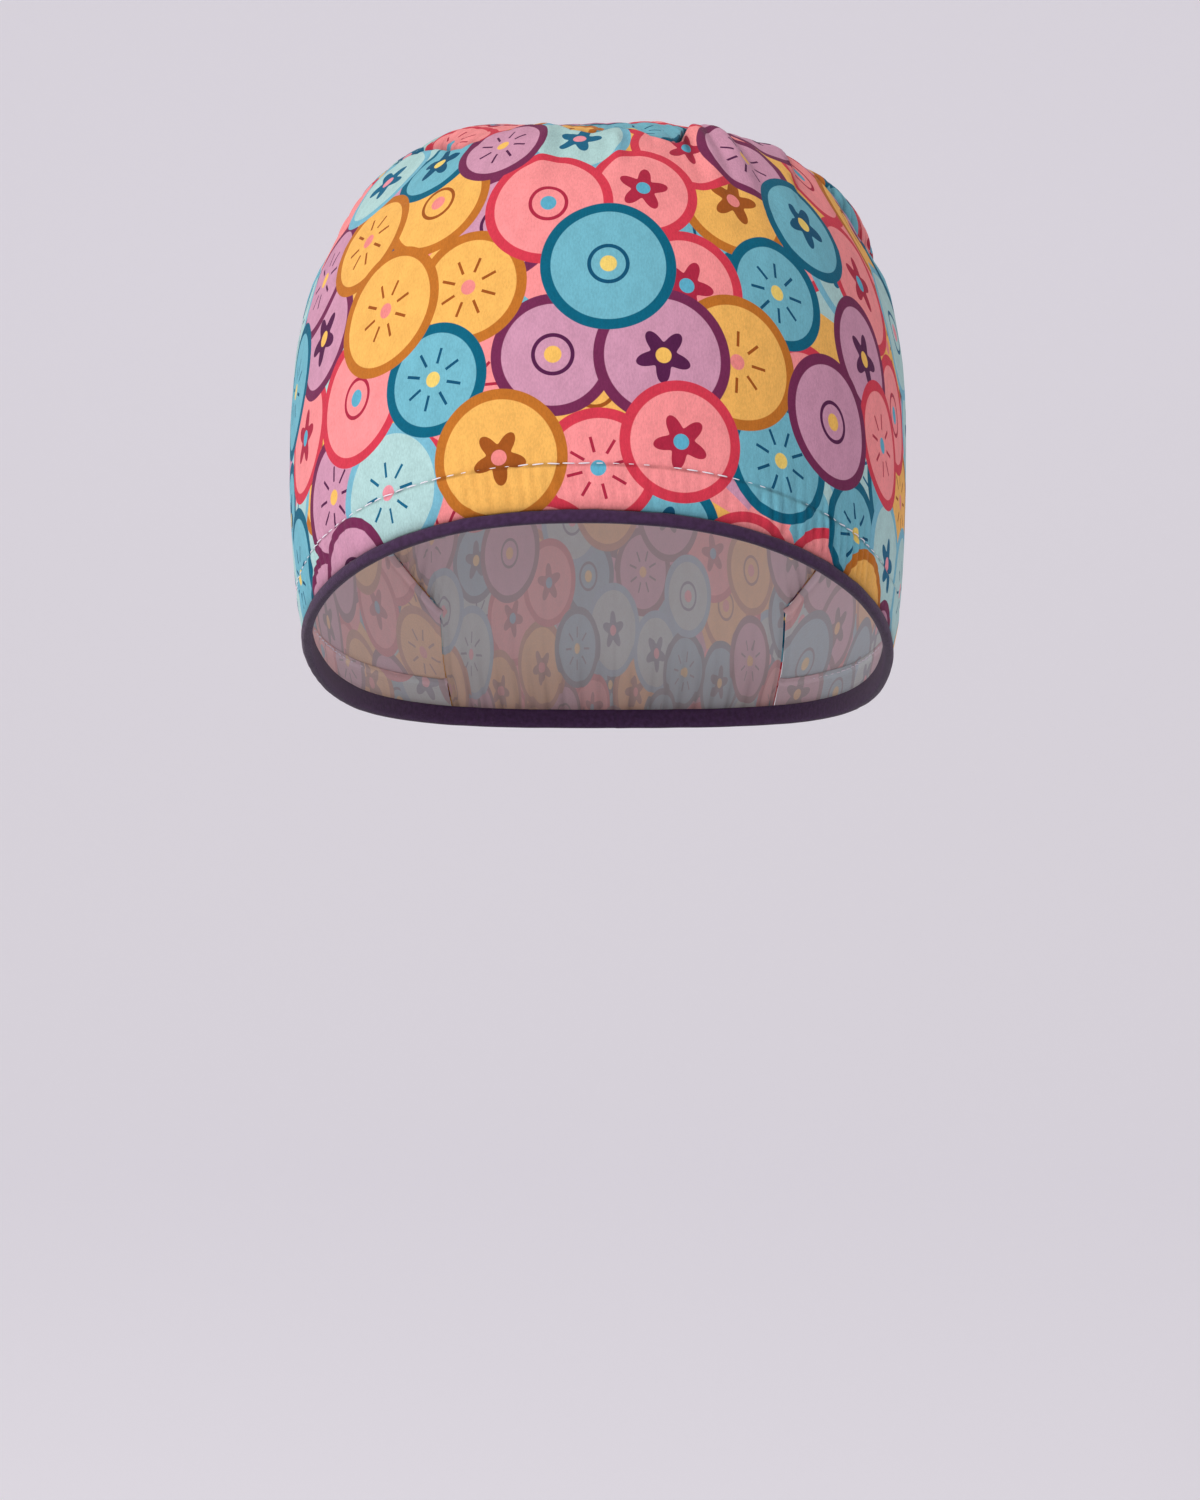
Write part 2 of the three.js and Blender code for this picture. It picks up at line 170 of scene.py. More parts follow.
def plan_radius(azimuth, rise):
    """Distance of the cap's outer face from its upright axis: a superellipse at each rise."""
    swell = look_up(SECTIONS, "rise", rise, "swell")
    across = (OPENING_HALF_WIDTH + (FULL_HALF_WIDTH - OPENING_HALF_WIDTH) * swell) * look_up(
        SECTIONS, "rise", rise, "side")
    facing = np.cos(np.radians(azimuth))
    front = (OPENING_FRONT + (FULL_FRONT - OPENING_FRONT) * swell) * look_up(
        SECTIONS, "rise", rise, "front")
    back = (OPENING_BACK + (FULL_BACK - OPENING_BACK) * swell) * look_up(
        SECTIONS, "rise", rise, "back")
    deep = np.maximum(np.where(facing > 0, front, back), 1e-6)
    across = np.maximum(across, 1e-6)
    square = look_up(SECTIONS, "rise", rise, "square")
    total = np.abs(np.sin(np.radians(azimuth)) / across) ** square + np.abs(facing / deep) ** square
    return total ** (-1 / square)


def cap_point(azimuth, rise):
    """Outer face of the filled cap before folds and gathers, in millimetres."""
    turn = np.radians(azimuth)
    rim = rim_height(-plan_radius(azimuth, 0.0 * rise) * np.cos(turn)) + BINDING_HEIGHT + SEAM_GAP
    radius = plan_radius(azimuth, rise)
    height = rim + (CROWN_HEIGHT - rim) * look_up(SECTIONS, "rise", rise, "height")
    return np.stack([radius * np.sin(turn), -radius * np.cos(turn), height], axis=-1)


def unit(vectors):
    return vectors / np.maximum(np.linalg.norm(vectors, axis=-1, keepdims=True), 1e-9)


def cap_normal(azimuth, rise):
    """Outward direction of the filled cap's face, from the face's slopes round and up."""
    turn, climb = 0.4, 0.004
    low = np.clip(rise - climb, 0, 1 - 2 * climb)
    around = cap_point(azimuth + turn, rise) - cap_point(azimuth - turn, rise)
    up = cap_point(azimuth, low + 2 * climb) - cap_point(azimuth, low)
    normal = unit(np.cross(around, up))
    top = ramp(rise, 0.985, 0.998)[..., None]
    return unit(normal * (1 - top) + np.array([0.0, 0.0, 1.0]) * top)


def seam_rise(azimuth):
    rise = look_up(SEAM_LINE, "azimuth", np.abs(azimuth), "rise")
    for at, drop, before, after in SEAM_DIPS:
        spread = np.where(azimuth < at, before, after)
        rise = rise - drop * np.exp(-(((azimuth - at) / spread) ** 2))
    return rise


class Meridians:
    """Lengths along the cap's meridians at a set of azimuths, to turn lengths into rises."""

    def __init__(self, azimuths):
        self.azimuths = azimuths
        self.rises = np.linspace(0, 1, 321)
        grid_azimuth, grid_rise = np.meshgrid(azimuths, self.rises, indexing="ij")
        points = cap_point(grid_azimuth, grid_rise)
        steps = np.linalg.norm(np.diff(points, axis=1), axis=-1)
        self.lengths = np.concatenate([np.zeros((len(azimuths), 1)), np.cumsum(steps, axis=1)], axis=1)

    def rise_at(self, lengths, columns=slice(None)):
        """Rise at a length from the rim, for an array of rows by columns."""
        known = self.lengths[columns]
        rows = [np.interp(lengths[:, c], known[c], self.rises) for c in range(len(known))]
        return np.stack(rows, axis=1)

    def length_at(self, rises):
        """Length from the rim at one rise for each column."""
        pairs = zip(rises, self.lengths)
        return np.array([np.interp(rise, self.rises, lengths) for rise, lengths in pairs])


def wander(place, pitch, seed):
    """Smooth random value from -1 to 1 along a line."""
    knots = np.random.default_rng(seed).uniform(-1, 1, 1024)
    t = place / pitch + 300
    i = np.floor(t).astype(int)
    f = t - i
    s = f * f * (3 - 2 * f)
    return knots[i % 1024] * (1 - s) + knots[(i + 1) % 1024] * s


def wander_over(x, y, pitch, seed):
    """Smooth random value from -1 to 1 over a plane."""
    knots = np.random.default_rng(seed).uniform(-1, 1, (256, 256))
    tx, ty = x / pitch + 90, y / pitch + 90
    i, j = np.floor(tx).astype(int), np.floor(ty).astype(int)
    fx, fy = tx - i, ty - j
    sx, sy = fx * fx * (3 - 2 * fx), fy * fy * (3 - 2 * fy)
    a, b = knots[i % 256, j % 256], knots[(i + 1) % 256, j % 256]
    c, d = knots[i % 256, (j + 1) % 256], knots[(i + 1) % 256, (j + 1) % 256]
    return (a * (1 - sx) + b * sx) * (1 - sy) + (c * (1 - sx) + d * sx) * sy


def pleat_phase(place, pitch, seed, uneven):
    """Count of ridges passed, whole on the ridges and half in the valleys."""
    return place / pitch + uneven * wander(place, 2.3 * pitch, seed)


def pleats(place, pitch, seed, uneven=0.3):
    """Rounded ridges with sharp valleys, 0 in the valleys and 1 on the ridges."""
    phase = pleat_phase(place, pitch, seed, uneven)
    ridge = np.abs(np.cos(np.pi * phase)) ** 0.8
    height = 0.7 + 0.3 * wander(place, 1.7 * pitch, seed + 1)
    return ridge * height


def valleys(place, pitch, seed, uneven):
    """1 in the valleys of the pleats and 0 on their ridges."""
    return 1 - np.abs(np.cos(np.pi * pleat_phase(place, pitch, seed, uneven)))


def hidden_cloth(place, away):
    """How far the print is shifted along the seam, as the gathers' valleys swallow cloth."""
    phase = pleat_phase(place, *GATHERS) + 0.5
    return HIDDEN_CLOTH * (phase - np.floor(phase) - 0.5) * np.exp(-away / HIDDEN_CLOTH_REACH)


def gather(place, away):
    """Depth of the crown's gathers at a place along their stitching and a distance from it."""
    pinned = 0.25 + 0.75 * ramp(away, 0.0, 3.0)
    fine = 1.3 * np.exp(-away / 12.0) * pleats(place, *GATHERS)
    middle = 1.5 * (np.exp(-away / 30.0) - 0.8 * np.exp(-away / 5.0)) * pleats(place, 11.5, 23)
    broad = 1.7 * (np.exp(-away / 75.0) - np.exp(-away / 16.0)) * pleats(place, 27.0, 37)
    return pinned * (fine + middle + broad - 0.9 * np.exp(-away / 20.0))


# Meshes

def mesh_object(name, points, faces, smooth=True):
    mesh = bpy.data.meshes.new(name)
    mesh.from_pydata((np.asarray(points) * MM).tolist(), [], faces)
    mesh.validate()
    mesh.polygons.foreach_set("use_smooth", [smooth] * len(mesh.polygons))
    mesh.update()
    obj = bpy.data.objects.new(name, mesh)
    bpy.context.scene.collection.objects.link(obj)
    return obj


def grid_faces(rows, columns, closed=False, start=0):
    """Quads of a grid whose points run row by row, facing out where rows climb and columns turn left."""
    r = np.arange(rows - 1)[:, None]
    c = np.arange(columns if closed else columns - 1)[None]
    after = (c + 1) % columns
    faces = np.stack([r * columns + c, r * columns + after, (r + 1) * columns + after,
                      (r + 1) * columns + c], axis=-1)
    return (faces.reshape(-1, 4) + start).tolist()


def set_print_map(obj, places):
    """UV map of the printed cloth: where each point lies on the flat cloth, in metres."""
    layer = obj.data.uv_layers.new(name="cloth_metres")
    corners = np.empty(len(obj.data.loops), int)
    obj.data.loops.foreach_get("vertex_index", corners)
    layer.data.foreach_set("uv", (np.asarray(places)[corners] * MM).ravel())


def set_shade(obj, shade):
    """Share of painted shade that each point of a piece has in its hollows, read by the cloth's colour."""
    layer = obj.data.attributes.new("hollow_shade", "FLOAT", "POINT")
    layer.data.foreach_set("value", np.asarray(shade, float).ravel())


def thicken(obj, thickness, inner_slot):
    solid = obj.modifiers.new("cloth_thickness", "SOLIDIFY")
    solid.thickness = thickness * MM
    solid.offset = -1.0
    solid.use_even_offset = False
    solid.material_offset = inner_slot


# Front panel

PANEL_COLUMNS = 901
HEM_ROWS = (0, 0.8, 1.6, 2.6, 3.6, 4.8, 6, 7.2, 8.4, 9.4, 10.1, 10.6, 11, 11.4, 11.9, 12.6, 14)
SEAM_ROWS = (10, 8.5, 7, 5.6, 4.4, 3.4, 2.6, 1.9, 1.3, 0.8, 0.4, 0)
MIDDLE_ROWS = 19


def fold_offset(azimuth, below):
    """How far the panel stands out at its folds; below is the share of the way down from the seam."""
    start = ramp(below, -0.02, 0.06)
    total = 0.0
    for at, depth, spread, reach in PANEL_FOLDS:
        total = total + depth * np.exp(-(((azimuth - at) / spread) ** 2) - (below / reach) ** 2)
    return FOLD_DEPTH * start * total


def top_folds(azimuth, from_seam):
    """Relief of the short folds and creases that start at the top seam."""
    start = ramp(from_seam, 0.3, 3.0)
    total = 0.0
    for at, depth, spread, length in TOP_FOLDS:
        total = total + depth * np.exp(-(((azimuth - at) / spread) ** 2) - (from_seam / length) ** 2)
    total = total * (0.1 + 0.9 * ramp(from_seam, 3.0, 12.0))
    for at, height, lean, length, side, swallowed in CREASES:
        past = side * (azimuth - at - lean * from_seam)
        step = ramp(past, -6.0, -0.3) * (1 - ramp(past, -0.15, 0.75))
        total = total + height * step * np.exp(-((from_seam / length) ** 4))
    return start * total


def tucked_cloth(azimuth, from_seam):
    """How far the print is moved along the panel beside its tucks, which swallow some of the cloth."""
    total = 0.0
    for at, height, lean, length, side, swallowed in CREASES:
        past = side * (azimuth - at - lean * from_seam)
        beyond = ramp(past, 0.0, 0.3) * (1 - ramp(past, 6.0, 40.0))
        total = total + side * swallowed * beyond * np.exp(-((from_seam / length) ** 2))
    return total


def tuck_shadow(azimuth, from_seam):
    """Share of painted shade in the panel's tucks."""
    total = 0.0
    for at, height, lean, length, side, swallowed in CREASES:
        past = side * (azimuth - at - lean * from_seam)
        total = total + np.exp(-(((past - 0.6) / 0.65) ** 2) - (from_seam / length) ** 4)
    return total


def hem_strength(azimuth, place):
    """Share of the full depth that the hem's puckers have round the panel."""
    strength = 0.5 + 0.25 * wander(place, 38, 5)
    strength = strength + 1.05 * ramp(azimuth, 18, 32) * (1 - ramp(azimuth, 46, 56))
    for at, spread in ((-12, 8), (-50, 9)):
        strength = strength + 0.4 * np.exp(-(((azimuth - at) / spread) ** 2))
    return np.clip(strength, 0.2, 1.6) * (1 - 0.55 * ramp(np.abs(azimuth), 50, 64))


def panel_relief(azimuth, height, top, place):
    """Relief of the front panel over the filled cap, by height over the rim and place along it."""
    below = np.clip((top - height) / top, 0, 1)
    from_seam = top - height
    relief = fold_offset(azimuth, below) + top_folds(azimuth, from_seam)
    # Broad unevenness of worn cotton
    relief = relief + 0.35 * wander_over(place, height, 34, 3) + 0.14 * wander_over(place, height, 13, 4)
    # The turned hem stands proud, puckered between the topstitching and the binding
    relief = relief + 0.35 * (1 - ramp(height, STITCH_LINE - 0.2, STITCH_LINE + 1.2))
    window = ramp(height, 0.2, 3.0) * (1 - 0.6 * ramp(height, STITCH_LINE - 2.5, STITCH_LINE + 0.5))
    window = window * (1 - ramp(height, STITCH_LINE, STITCH_LINE + 12))
    strength = hem_strength(azimuth, place)
    puckers = pleats(place + PUCKER_LEAN * height, *PUCKERS) - 0.45
    waves = pleats(place - 0.3 * height, 9.5, 16, 0.5) - 0.5
    relief = relief + strength * window * (0.75 * puckers + 0.55 * waves)
    relief = relief - 0.5 * np.exp(-(((height - STITCH_LINE) / 0.5) ** 2))
    # Small pulls along the top seam, where the panel's edge rolls in
    pulls = pleats(place, 7.5, 8, 0.4) - 0.5
    relief = relief + 0.5 * np.exp(-from_seam / 8.0) * pulls * ramp(from_seam, 0.0, 2.0)
    relief = relief - 1.5 * (1 - ramp(from_seam, 0.0, 1.7))
    relief = relief + 0.35 * np.exp(-(((from_seam - 2.2) / 1.3) ** 2))
    # The ends are sewn to the crown in the same way
    from_end = (PANEL_END - np.abs(azimuth)) * DEGREE
    relief = relief - 1.2 * (1 - ramp(from_end, 0.0, 1.7))
    # The lower edge goes up into the binding
    return relief - 0.45 * (1 - ramp(height, 0.0, 1.2))


def panel_shade(azimuth, height, top, place):
    """Share of painted shade, from 0 to 1, that the panel's narrow hollows have: above the binding, under
    the seam, in the stitch groove, in the puckers' valleys and in the tucks.
    """
    from_seam = top - height
    shade = 1.0 * np.exp(-height / 1.4) + 0.5 * np.exp(-from_seam / 1.0)
    uneven = 0.6 + 0.4 * wander(place, 2.7, 17)
    shade = shade + 0.85 * uneven * np.exp(-(((height - STITCH_LINE + 0.25) / 0.4) ** 2))
    valley = valleys(place + PUCKER_LEAN * height, *PUCKERS)
    window = ramp(height, 0.5, 3.0) * (1 - ramp(height, STITCH_LINE, STITCH_LINE + 6))
    shade = shade + 0.3 * np.clip(hem_strength(azimuth, place) - 0.4, 0, 1) * window * valley**3
    return np.clip(shade + 0.95 * tuck_shadow(azimuth, from_seam), 0, 0.85)


def panel_rows(top):
    """Heights over the rim of the panel's rows, dense at the hem and at the seam."""
    low = np.array(HEM_ROWS)[:, None] + 0 * top
    high = top - np.array(SEAM_ROWS)[:, None]
    share = (np.arange(1, MIDDLE_ROWS + 1) / (MIDDLE_ROWS + 1))[:, None]
    middle = low[-1] + share * (high[0] - low[-1])
    return np.concatenate([low, middle, high])


def place_along(azimuths, rises):
    """Length along a line on the cap from its middle, at each of its azimuths."""
    points = cap_point(azimuths, rises)
    steps = np.linalg.norm(np.diff(points, axis=0), axis=-1)
    place = np.concatenate([[0], np.cumsum(steps)])
    return place - np.interp(0.0, azimuths, place)


def front_panel(meridians, top):
    azimuths = meridians.azimuths
    heights = panel_rows(top)
    rises = meridians.rise_at(heights)
    azimuth = np.broadcast_to(azimuths, heights.shape)
    place = np.broadcast_to(place_along(azimuths, 0.07 + 0 * azimuths), heights.shape)
    relief = panel_relief(azimuth, heights, top, place)
    normals = cap_normal(azimuth, rises)
    points = cap_point(azimuth, rises) + normals * relief[..., None]
    obj = mesh_object("front_panel_cloth", points.reshape(-1, 3), grid_faces(*heights.shape))
    set_print_map(obj, panel_print_places(meridians, heights, top).reshape(-1, 2))
    set_shade(obj, panel_shade(azimuth, heights, top, place))
    return obj, points, normals


def panel_print_places(meridians, heights, top):
    """Places of the panel's points on the flat cloth, where the panel's middle line lies straight."""
    line = meridians.length_at(look_up(SEAM_LINE, "azimuth", np.abs(meridians.azimuths), "rise"))
    middle = meridians.rise_at(0.5 * line[None])[0]
    across = np.broadcast_to(place_along(meridians.azimuths, middle), heights.shape)
    across = across + tucked_cloth(np.broadcast_to(meridians.azimuths, heights.shape), top - heights)
    return np.stack([across, heights - 0.5 * line], axis=-1)


def panel_hem(meridians, top):
    """The turned-up hem inside the front panel, held by the topstitching."""
    columns = slice(0, None, 2)
    azimuths = meridians.azimuths[columns]
    rows = np.array([0.6, 2, 4, 6, 8, 9.5, 10.5, 11, 11.5, 12.1, HEM_DEPTH])
    heights = rows[:, None] + 0 * azimuths[None]
    rises = meridians.rise_at(heights, columns)
    azimuth = np.broadcast_to(azimuths, heights.shape)
    place = np.broadcast_to(place_along(azimuths, 0.07 + 0 * azimuths), heights.shape)
    relief = panel_relief(azimuth, heights, top[columns], place) - CLOTH - 0.06
    relief = relief - 0.12 * np.exp(-(((heights - 8) / 2.5) ** 2))
    points = cap_point(azimuth, rises) + cap_normal(azimuth, rises) * relief[..., None]
    obj = mesh_object("front_panel_hem", points.reshape(-1, 3), grid_faces(*heights.shape))
    flat = np.stack([place, 400 + heights], axis=-1)
    set_print_map(obj, flat.reshape(-1, 2))
    return obj


# Crown

CROWN_COLUMNS = 896
CROWN_ROWS = (0, 0.5, 1.0, 1.6, 2.3, 3.1, 4, 5, 6.2, 7.6, 9.2, 11, 13.2, 15.8, 18.8, 22.2, 26)
CROWN_UPPER_SHARES = (0.06, 0.12, 0.18, 0.24, 0.3, 0.36, 0.42, 0.48, 0.54, 0.6, 0.66, 0.72, 0.78,
                      0.83, 0.88, 0.92, 0.955, 0.98)
HALVED_AFTER = (24, 29, 32, 33)  # rows of the crown after which every second column ends
SKIRT_SHARES = (0, 0.03, 0.06, 0.09, 0.13, 0.17, 0.22, 0.28, 0.35, 0.43, 0.52, 0.62, 0.74, 0.87)


def crown_azimuths():
    """Azimuths of the crown's columns, with one at each end of the front panel."""
    azimuths = -180 + 360 / CROWN_COLUMNS * (np.arange(CROWN_COLUMNS) + 0.5)
    for end in (-PANEL_END, PANEL_END):
        azimuths[np.argmin(np.abs(azimuths - end))] = end
    return azimuths


def crown_start(meridians):
    """Length from the rim at which the crown's upper grid starts: the seam, or a line over the nape."""
    return meridians.length_at(seam_rise(np.minimum(np.abs(meridians.azimuths), PANEL_END)
                                         * np.sign(meridians.azimuths)))


def nape_share(azimuth):
    """0 where the crown is sewn to the front panel and 1 where it is sewn into the rim."""
    return ramp(np.abs(azimuth), PANEL_END - 1.5, PANEL_END + 5.0)


def from_stitching(azimuth, length, start):
    """Distance of the crown's cloth from the stitching that gathers it."""
    nape = nape_share(azimuth)
    return np.maximum(length - start, 0) * (1 - nape) + length * nape


def gather_place(azimuth, length, start, place):
    """Place on the seam from which a gather runs, at right angles to the seam, to a point of the crown."""
    slope = (look_up(SEAM_LINE, "azimuth", np.abs(azimuth) + 3.0, "rise")
             - look_up(SEAM_LINE, "azimuth", np.maximum(np.abs(azimuth) - 3.0, 0.0), "rise"))
    around, up = np.radians(6.0) * FULL_HALF_WIDTH, slope * CROWN_HEIGHT
    fall = -up / around * np.sign(azimuth) * (1 - nape_share(azimuth))
    from_seam = np.maximum(length - start, 0)
    reach = GATHER_TURN * (1 - np.exp(-from_seam / GATHER_TURN))
    return place - fall / np.sqrt(1 + fall**2) * reach


def crown_relief(azimuth, length, start, whole, place):
    """Relief of the crown over the filled cap, by length from the rim."""
    nape = nape_share(azimuth)
    from_seam = np.maximum(length - start, 0)
    away = from_stitching(azimuth, length, start)
    share = look_up(CROWN_ROUND, "azimuth", azimuth, "gather") * ramp(whole - length, 5.0, 45.0)
    relief = share * gather(place, away)
    along = np.clip((length - start) / (whole - start), 0, 1)
    puff = look_up(PUFF_ALONG, "along", along, "puff") * (1 - 0.5 * nape)
    relief = relief + SEAM_PUFF * look_up(CROWN_ROUND, "azimuth", azimuth, "puff") * puff
    sink = look_up(PUFF_ALONG, "along", along, "sink")
    relief = relief - SHOULDER_SINK * look_up(CROWN_ROUND, "azimuth", azimuth, "sink") * sink
    top = ramp(whole - length, 0.0, 25.0)
    x, y = length * np.sin(np.radians(azimuth)), length * np.cos(np.radians(azimuth))
    relief = relief + top * (0.5 * wander_over(x, y, 30, 51) + 0.2 * wander_over(x, y, 12, 52))
    # Rolled in at the seam and into the binding at the nape
    beside = (np.abs(azimuth) - PANEL_END) * DEGREE
    from_edge = np.where(beside < 0, from_seam, np.hypot(beside, from_seam))
    tuck = 1.5 * (1 - ramp(from_edge, 0.0, 2.2))
    hem = 0.45 * (1 - ramp(length, 0.0, 1.2)) * nape
    return relief - tuck - hem


def ring_faces(counts, starts):
    """Faces between rings of points, where a ring may have half as many points as the one before."""
    faces = []
    for ring in range(len(counts) - 1):
        n, m = counts[ring], counts[ring + 1]
        a, b = starts[ring], starts[ring + 1]
        i = np.arange(m)
        after = (i + 1) % m
        if m == n:
            faces += np.stack([a + i, a + after, b + after, b + i], axis=-1).tolist()
            continue
        first, second, third = a + 2 * i, a + 2 * i + 1, a + (2 * i + 2) % n
        faces += np.stack([first, second, b + i], axis=-1).tolist()
        faces += np.stack([second, third, b + after], axis=-1).tolist()
        faces += np.stack([second, b + after, b + i], axis=-1).tolist()
    return faces


def crown_lengths(start, whole):
    """Lengths from the rim of the crown's rows above its start."""
    low = start + np.array(CROWN_ROWS)[:, None]
    high = low[-1] + np.array(CROWN_UPPER_SHARES)[:, None] * (whole - low[-1])
    return np.concatenate([low, high])


def crown_panel():
    azimuths = crown_azimuths()
    meridians = Meridians(azimuths)
    start, whole = crown_start(meridians), meridians.lengths[:, -1]
    seam_place = place_along(azimuths, np.where(np.abs(azimuths) <= PANEL_END, seam_rise(azimuths), 0.0))

    def surface(lengths, columns):
        rises = meridians.rise_at(lengths, columns)
        azimuth = np.broadcast_to(azimuths[columns], lengths.shape)
        place = gather_place(azimuth, lengths, start[columns], seam_place[columns])
        relief = crown_relief(azimuth, lengths, start[columns], whole[columns], place)
        points = cap_point(azimuth, rises) + cap_normal(azimuth, rises) * relief[..., None]
        from_top = whole[columns] - lengths
        turn = np.radians(azimuth)
        away = from_stitching(azimuth, lengths, start[columns])
        share = look_up(CROWN_ROUND, "azimuth", azimuth, "gather")
        shift = hidden_cloth(place, away) * np.minimum(share, 1.0)
        flat = np.stack([from_top * np.sin(turn) + shift * np.cos(turn),
                         -from_top * np.cos(turn) + shift * np.sin(turn)], axis=-1)
        # Painted shade beside the stitching and in the gathers' valleys
        valley = valleys(place, *GATHERS)
        shade = 0.7 * np.exp(-away / 2.0) + 0.6 * share * valley**2 * np.exp(-away / 13.0)
        return points, flat, np.clip(shade, 0, 0.8)

    lengths = crown_lengths(start, whole)
    points, flat, shade, counts, starts = [], [], [], [], []
    step, total = 1, 0
    for row in range(len(lengths)):
        columns = slice(0, None, step)
        ring, ring_flat, ring_shade = surface(lengths[row : row + 1, columns], columns)
        points.append(ring[0])
        flat.append(ring_flat[0])
        shade.append(ring_shade[0])
        counts.append(len(ring[0]))
        starts.append(total)
        total += len(ring[0])
        if row in HALVED_AFTER:
            step *= 2
    faces = ring_faces(counts, starts)
    points.append(np.array([[0.0, 0.0, CROWN_HEIGHT]]))
    flat.append(np.zeros((1, 2)))
    shade.append(np.zeros(1))
    last, n = starts[-1], counts[-1]
    faces += [(last + i, last + (i + 1) % n, total) for i in range(n)]
    total += 1

    # Skirt over the nape, between the two ends of the front panel
    behind = np.where(np.abs(azimuths) >= PANEL_END)[0]
    order = np.concatenate([behind[azimuths[behind] > 0], behind[azimuths[behind] < 0]])
    skirt_lengths = np.array(SKIRT_SHARES)[:, None] * start[order][None]
    skirt, skirt_flat, skirt_shade = surface(skirt_lengths, order)
    points.append(skirt.reshape(-1, 3))
    flat.append(skirt_flat.reshape(-1, 2))
    shade.append(skirt_shade.ravel())
    rows, columns = skirt_lengths.shape
    faces += grid_faces(rows, columns, start=total)
    edge = total + (rows - 1) * columns
    faces += [(edge + i, edge + i + 1, int(order[i + 1]), int(order[i])) for i in range(columns - 1)]
    obj = mesh_object("crown_cloth", np.concatenate(points), faces)
    set_print_map(obj, np.concatenate(flat) + np.array([1000.0, 0.0]))
    set_shade(obj, np.concatenate(shade))
    return obj


# Binding

BINDING_COLUMNS = 900
# Section of the folded strip, from its outer edge round below the cloth to its inner edge:
# out from the cloth's outer face, and up from the cloth's lower edge
BINDING_SECTION = (
    (0.0, 0.12), (0.2, 0.32), (0.48, 0.35), (0.74, 0.16), (0.9, -0.2), (0.98, -0.65), (0.99, -1.15),
    (0.9, -1.65), (0.7, -2.1), (0.37, -2.46), (-0.08, -2.66), (-0.62, -2.7), (-1.1, -2.52),
    (-1.48, -2.12), (-1.72, -1.5), (-1.85, -0.7), (-1.88, 0.3), (-1.84, 1.3), (-1.78, 2.2),
    (-1.7, 2.9), (-1.57, 3.2), (-1.4, 3.25), (-1.25, 3.0),
)
BINDING_CLOTH = 0.35


def edge_binding():
    azimuths = -180 + 360 / BINDING_COLUMNS * np.arange(BINDING_COLUMNS)
    rim = cap_point(azimuths, 0 * azimuths)
    out = cap_normal(azimuths, 0 * azimuths)
    out[:, 2] = 0
    out = unit(out)
    place = place_along(azimuths, 0 * azimuths)
    nape = ramp(np.abs(azimuths), PANEL_END - 2, PANEL_END + 6)
    wave = 0.16 * wander(place, 7, 61) + 0.22 * wander(place, 24, 62)
    crimp = nape * 0.35 * (pleats(place, *GATHERS) - 0.5)
    rows, flat, shade = [], [], []
    along = 0.0
    previous = BINDING_SECTION[0]
    for o, u in BINDING_SECTION:
        along += math.hypot(o - previous[0], u - previous[1])
        previous = (o, u)
        outer = ramp(np.float64(o), -0.2, 0.6)
        edge = 0.12 * wander(place, 3.1, 63) * outer
        ring = rim + out * (o + crimp + wave * 0.4 * outer)[:, None]
        ring[:, 2] += u + wave * 0.35 + edge
        rows.append(ring)
        flat.append(np.stack([place, along + 0 * place], axis=-1))
        # Painted shade along the binding's upper outer edge, where it meets the cloth, and under its lower
        # fold
        shade.append(0 * place + (0.75 if u > 0.25 and o > 0.1 else 0.6 * ramp(-np.float64(u), 1.9, 2.7)))
    points = np.stack(rows)
    faces = [face[::-1] for face in grid_faces(len(BINDING_SECTION), BINDING_COLUMNS, closed=True)]
    obj = mesh_object("edge_binding_cloth", points.reshape(-1, 3), faces)
    set_print_map(obj, np.stack(flat).reshape(-1, 2))
    set_shade(obj, np.stack(shade))
    return obj


# Topstitching

def stitch_row(name, azimuths, points, normals, side):
    """A row of stitches along a line of points: short threads whose ends dive into the cloth."""
    proud = sum(np.exp(-(((azimuths - at) / spread) ** 2)) for at, spread in PROUD_STITCHES)
    steps = np.linalg.norm(np.diff(points, axis=0), axis=-1)
    place = np.concatenate([[0], np.cumsum(steps)])
    draw = np.random.default_rng(71)
    rings, sides = 7, 6
    all_points, faces = [], []
    count = int(place[-1] / STITCH_PITCH)
    for n in range(count):
        middle = (n + 0.5) * STITCH_PITCH + draw.uniform(-0.15, 0.15)
        length = STITCH_LENGTH * draw.uniform(0.85, 1.05)
        slant = draw.uniform(-0.14, 0.14)
        lift = -0.42 + 0.5 * min(1.0, np.interp(middle, place, proud)) + draw.uniform(-0.09, 0.07)
        t = np.linspace(-0.5, 0.5, rings)
        at = middle + t * length
        line = np.stack([np.interp(at, place, points[:, k]) for k in range(3)], axis=-1)
        normal = unit(np.stack([np.interp(at, place, normals[:, k]) for k in range(3)], axis=-1))
        along = unit(np.gradient(line, axis=0))
        across = unit(np.cross(normal, along))
        dive = np.abs(2 * t) ** 3
        line = line + normal * side * (lift + 0.1 - 0.4 * dive)[:, None] + across * (slant * 2 * t)[:, None]
        radius = THREAD_RADIUS * (1 - 0.45 * dive)
        start = len(all_points) * rings * sides
        turn = 2 * np.pi * np.arange(sides) / sides
        ring = (line[:, None] + radius[:, None, None] * (
            np.cos(turn)[None, :, None] * across[:, None] + np.sin(turn)[None, :, None] * normal[:, None]))
        all_points.append(ring.reshape(-1, 3))
        for r in range(rings - 1):
            for s in range(sides):
                after = (s + 1) % sides
                a = start + r * sides
                faces.append((a + s, a + after, a + sides + after, a + sides + s))
        faces.append(tuple(start + s for s in reversed(range(sides))))
        faces.append(tuple(start + (rings - 1) * sides + s for s in range(sides)))
    return mesh_object(name, np.concatenate(all_points), faces)


